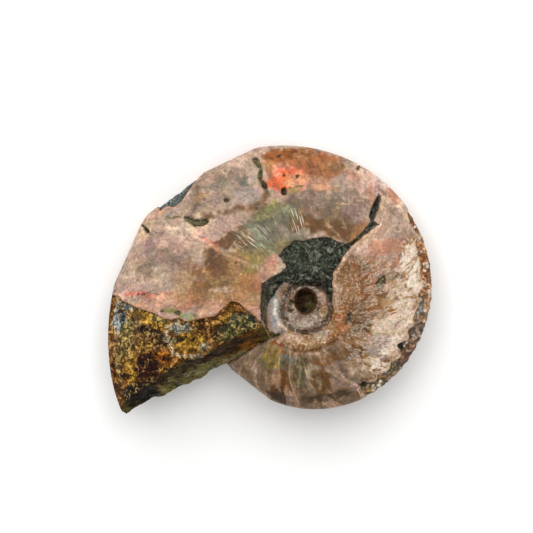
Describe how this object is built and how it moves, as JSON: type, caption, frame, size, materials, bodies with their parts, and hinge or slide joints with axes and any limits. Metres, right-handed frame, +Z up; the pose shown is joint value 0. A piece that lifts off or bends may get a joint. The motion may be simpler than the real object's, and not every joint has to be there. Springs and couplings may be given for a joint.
{
  "type": "iridescent ammonite",
  "caption": "Polished fossil ammonite lying on its flank: a coiled nacre shell, broken at its end to show frilled brown stone infill.",
  "frame": {"origin": "middle of the fossil's outline seen from above, on the surface that it lies on", "axes": "+Z up out of the shown flank; +X from the broken end towards the far margin of the coil; +Y across it, towards the top of the coil"},
  "size_m": [0.0632, 0.0518, 0.0181],
  "materials": {
    "fossil": "polished iridescent nacre over mineralised stone, rough where broken"
  },
  "bodies": {
    "root": {"ammonite": "fossil"}
  },
  "joints": []
}
